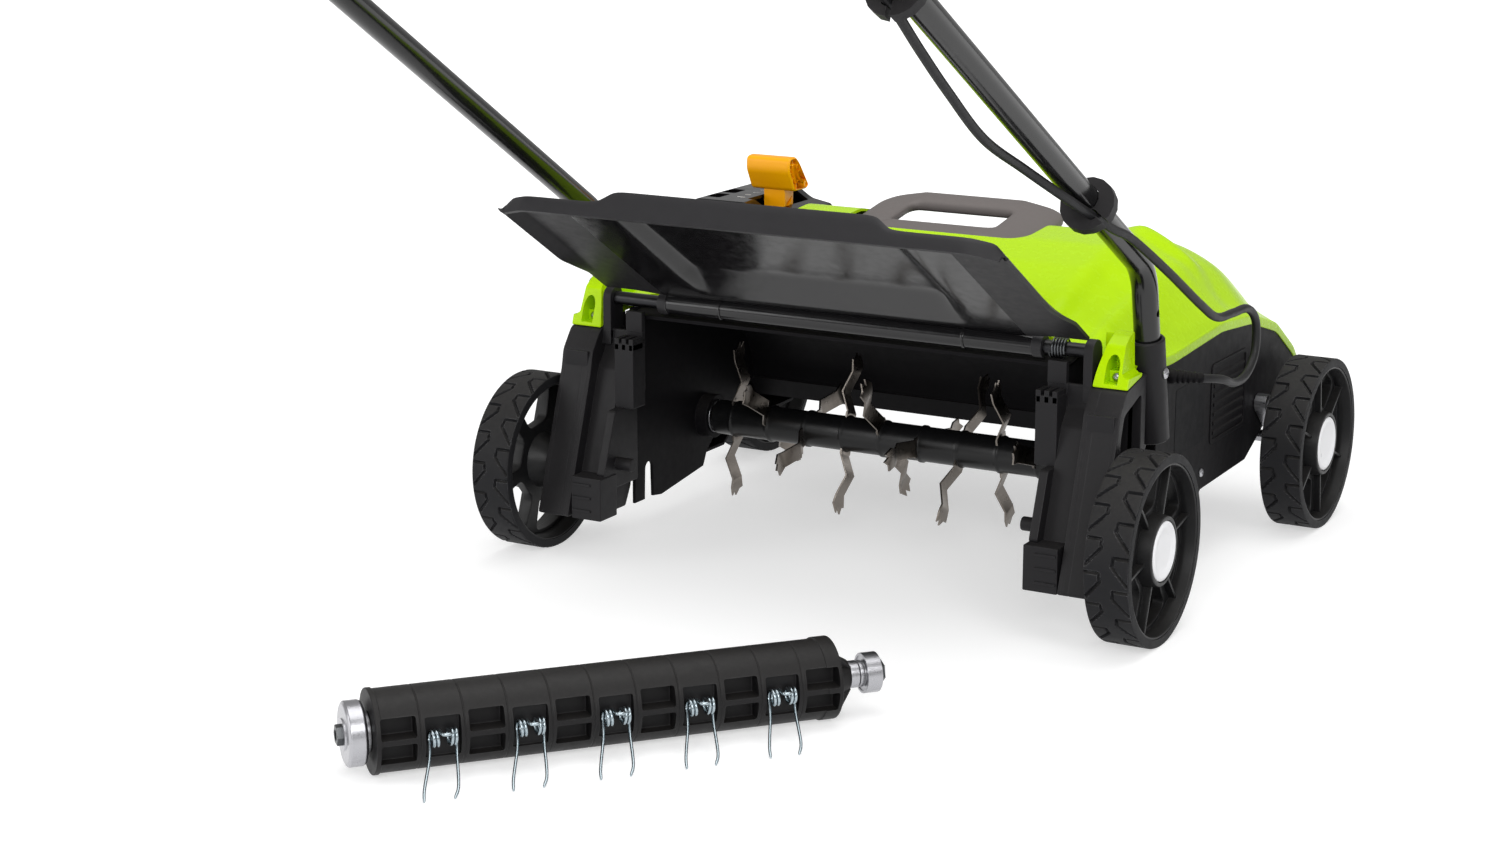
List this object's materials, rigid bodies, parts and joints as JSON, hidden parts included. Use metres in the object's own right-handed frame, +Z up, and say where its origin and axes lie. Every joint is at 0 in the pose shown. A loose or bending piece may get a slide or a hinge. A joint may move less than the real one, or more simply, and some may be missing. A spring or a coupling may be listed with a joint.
{
  "type": "electric lawn scarifier",
  "caption": "Electric lawn scarifier with a green cover, folding tube handle, raised rear flap, bladed rotor and a separate tine roller lying beside it.",
  "frame": {"origin": "on the ground, under the middle of the bounding box of the machine and the roller beside it", "axes": "+X to the right of a person standing behind the handle, +Y forward from the handle to the motor, +Z up"},
  "size_m": [0.6286, 1.4306, 0.9946],
  "materials": {
    "lime_gloss": "glossy moulded plastic, lime green",
    "body_black": "satin moulded plastic, fine grain",
    "leg_grey": "satin moulded plastic, charcoal",
    "flap_black": "semi-gloss moulded plastic",
    "soft_grip_grey": "soft-touch overmould",
    "tread_grey": "hard moulded tread, matte",
    "hub_cap_white": "semi-gloss",
    "lever_yellow": "semi-gloss",
    "button_red": "semi-gloss",
    "tube_gloss_black": "gloss powder coat on steel tube",
    "axle_steel": "bright zinc-plated steel",
    "blade_steel": "pressed stainless strip",
    "rotor_black": "black lacquered steel tube",
    "spring_zinc": "zinc-plated spring wire",
    "motor_steel": "painted steel case",
    "pulley_alloy": "turned",
    "belt_rubber": "matte",
    "cord_rubber": "matte cable sheath",
    "drum_black": "rough moulded plastic"
  },
  "bodies": {
    "chassis": {"deck_housing": "body_black", "left_leg": "leg_grey", "right_leg": "leg_grey", "top_cover": "lime_gloss", "carry_handle": "soft_grip_grey", "right_side_housing": "body_black", "left_side_housing": "body_black", "motor_case": "motor_steel", "left_rear_stub_axle": "axle_steel", "right_rear_stub_axle": "axle_steel", "hinge_pin": "body_black", "left_lower_tube": "tube_gloss_black", "right_lower_tube": "tube_gloss_black", "lower_cable_clip": "body_black", "upper_cable_clip": "body_black", "power_cord_lower": "cord_rubber", "drive_belt": "belt_rubber", "rotor_bearing": "axle_steel", "depth_quadrant": "body_black", "flap_spring": "spring_zinc"},
    "rotor": {"rotor_shaft": "rotor_black", "driven_pulley": "pulley_alloy", "blade_01": "blade_steel", "blade_02": "blade_steel", "blade_03": "blade_steel", "blade_04": "blade_steel", "blade_05": "blade_steel", "blade_06": "blade_steel", "blade_07": "blade_steel", "blade_08": "blade_steel", "blade_09": "blade_steel", "blade_10": "blade_steel"},
    "motor_rotor": {"motor_shaft": "axle_steel"},
    "rear_left_wheel_set": {"rear_wheel_left": "tread_grey", "rear_hub_cap_left": "hub_cap_white"},
    "rear_right_wheel_set": {"rear_wheel_right": "tread_grey", "rear_hub_cap_right": "hub_cap_white"},
    "front_crank": {"front_axle": "axle_steel"},
    "front_left_wheel_set": {"front_wheel_left": "tread_grey", "front_hub_cap_left": "hub_cap_white"},
    "front_right_wheel_set": {"front_wheel_right": "tread_grey", "front_hub_cap_right": "hub_cap_white"},
    "depth_selector": {"depth_lever": "lever_yellow"},
    "rear_flap": {"flap": "flap_black"},
    "handle": {"upper_handle": "tube_gloss_black", "switch_box": "body_black", "power_cord_upper": "cord_rubber"},
    "left_clamp_knob": {"left_knob": "body_black"},
    "right_clamp_knob": {"right_knob": "body_black"},
    "bail": {"bail_lever": "tube_gloss_black"},
    "lock_button": {"safety_button": "button_red"},
    "tine_roller": {"roller_drum": "drum_black", "roller_shaft": "axle_steel", "roller_bearing": "axle_steel", "tine_spring_1": "spring_zinc", "tine_spring_2": "spring_zinc", "tine_spring_3": "spring_zinc", "tine_spring_4": "spring_zinc", "tine_spring_5": "spring_zinc"}
  },
  "joints": [
    {"name": "rotor_spin", "type": "hinge", "parent": "chassis", "child": "rotor", "pos_m": [0, 0.38044, 0.099], "axis": [1, 0, 0], "continuous": true},
    {"name": "motor_spin", "type": "hinge", "parent": "chassis", "child": "motor_rotor", "pos_m": [0, 0.57044, 0.17], "axis": [1, 0, 0], "continuous": true},
    {"name": "rear_left_wheel_spin", "type": "hinge", "parent": "chassis", "child": "rear_left_wheel_set", "pos_m": [-0.295, 0.22544, 0.08], "axis": [1, 0, 0], "continuous": true},
    {"name": "rear_right_wheel_spin", "type": "hinge", "parent": "chassis", "child": "rear_right_wheel_set", "pos_m": [0.295, 0.22544, 0.08], "axis": [1, 0, 0], "continuous": true},
    {"name": "front_crank_swing", "type": "hinge", "parent": "chassis", "child": "front_crank", "pos_m": [0, 0.58044, 0.125], "axis": [1, 0, 0], "range_deg": [-9, 9]},
    {"name": "front_left_wheel_spin", "type": "hinge", "parent": "front_crank", "child": "front_left_wheel_set", "pos_m": [-0.295, 0.63544, 0.08], "axis": [1, 0, 0], "continuous": true},
    {"name": "front_right_wheel_spin", "type": "hinge", "parent": "front_crank", "child": "front_right_wheel_set", "pos_m": [0.295, 0.63544, 0.08], "axis": [1, 0, 0], "continuous": true},
    {"name": "depth_lever_swing", "type": "hinge", "parent": "chassis", "child": "depth_selector", "pos_m": [0, 0.47544, 0.24], "axis": [1, 0, 0], "range_deg": [-12, 12]},
    {"name": "flap_hinge", "type": "hinge", "parent": "chassis", "child": "rear_flap", "pos_m": [0, 0.25644, 0.231], "axis": [1, 0, 0], "range_deg": [-13, 83]},
    {"name": "handle_fold", "type": "hinge", "parent": "chassis", "child": "handle", "pos_m": [0, -0.22956, 0.61272], "axis": [1, 0, 0], "range_deg": [-160, 0], "deforming": ["power_cord_upper"]},
    {"name": "left_knob_spin", "type": "hinge", "parent": "handle", "child": "left_clamp_knob", "pos_m": [0, -0.22956, 0.61272], "axis": [1, 0, 0], "continuous": true},
    {"name": "right_knob_spin", "type": "hinge", "parent": "handle", "child": "right_clamp_knob", "pos_m": [0, -0.22956, 0.61272], "axis": [1, 0, 0], "continuous": true},
    {"name": "bail_swing", "type": "hinge", "parent": "handle", "child": "bail", "pos_m": [0, -0.63753, 0.89604], "axis": [1, 0, 0], "range_deg": [0, 18], "stiffness_Nm_per_rad": 0.8, "springref_deg": -22.92},
    {"name": "button_press", "type": "slide", "parent": "handle", "child": "lock_button", "axis": [0, -0.7431, -0.6691], "range_m": [0, 0.004], "stiffness_N_per_m": 400, "springref_m": -0.003},
    {"name": "roller_lift", "type": "slide", "parent": "chassis", "child": "tine_roller", "axis": [0, 0, 1], "range_m": [0, 0.3]}
  ],
  "couplings": [
    {"joint": "motor_spin", "follows": "rotor_spin", "ratio": 2},
    {"joint": "front_crank_swing", "follows": "depth_lever_swing", "ratio": 0.75}
  ]
}
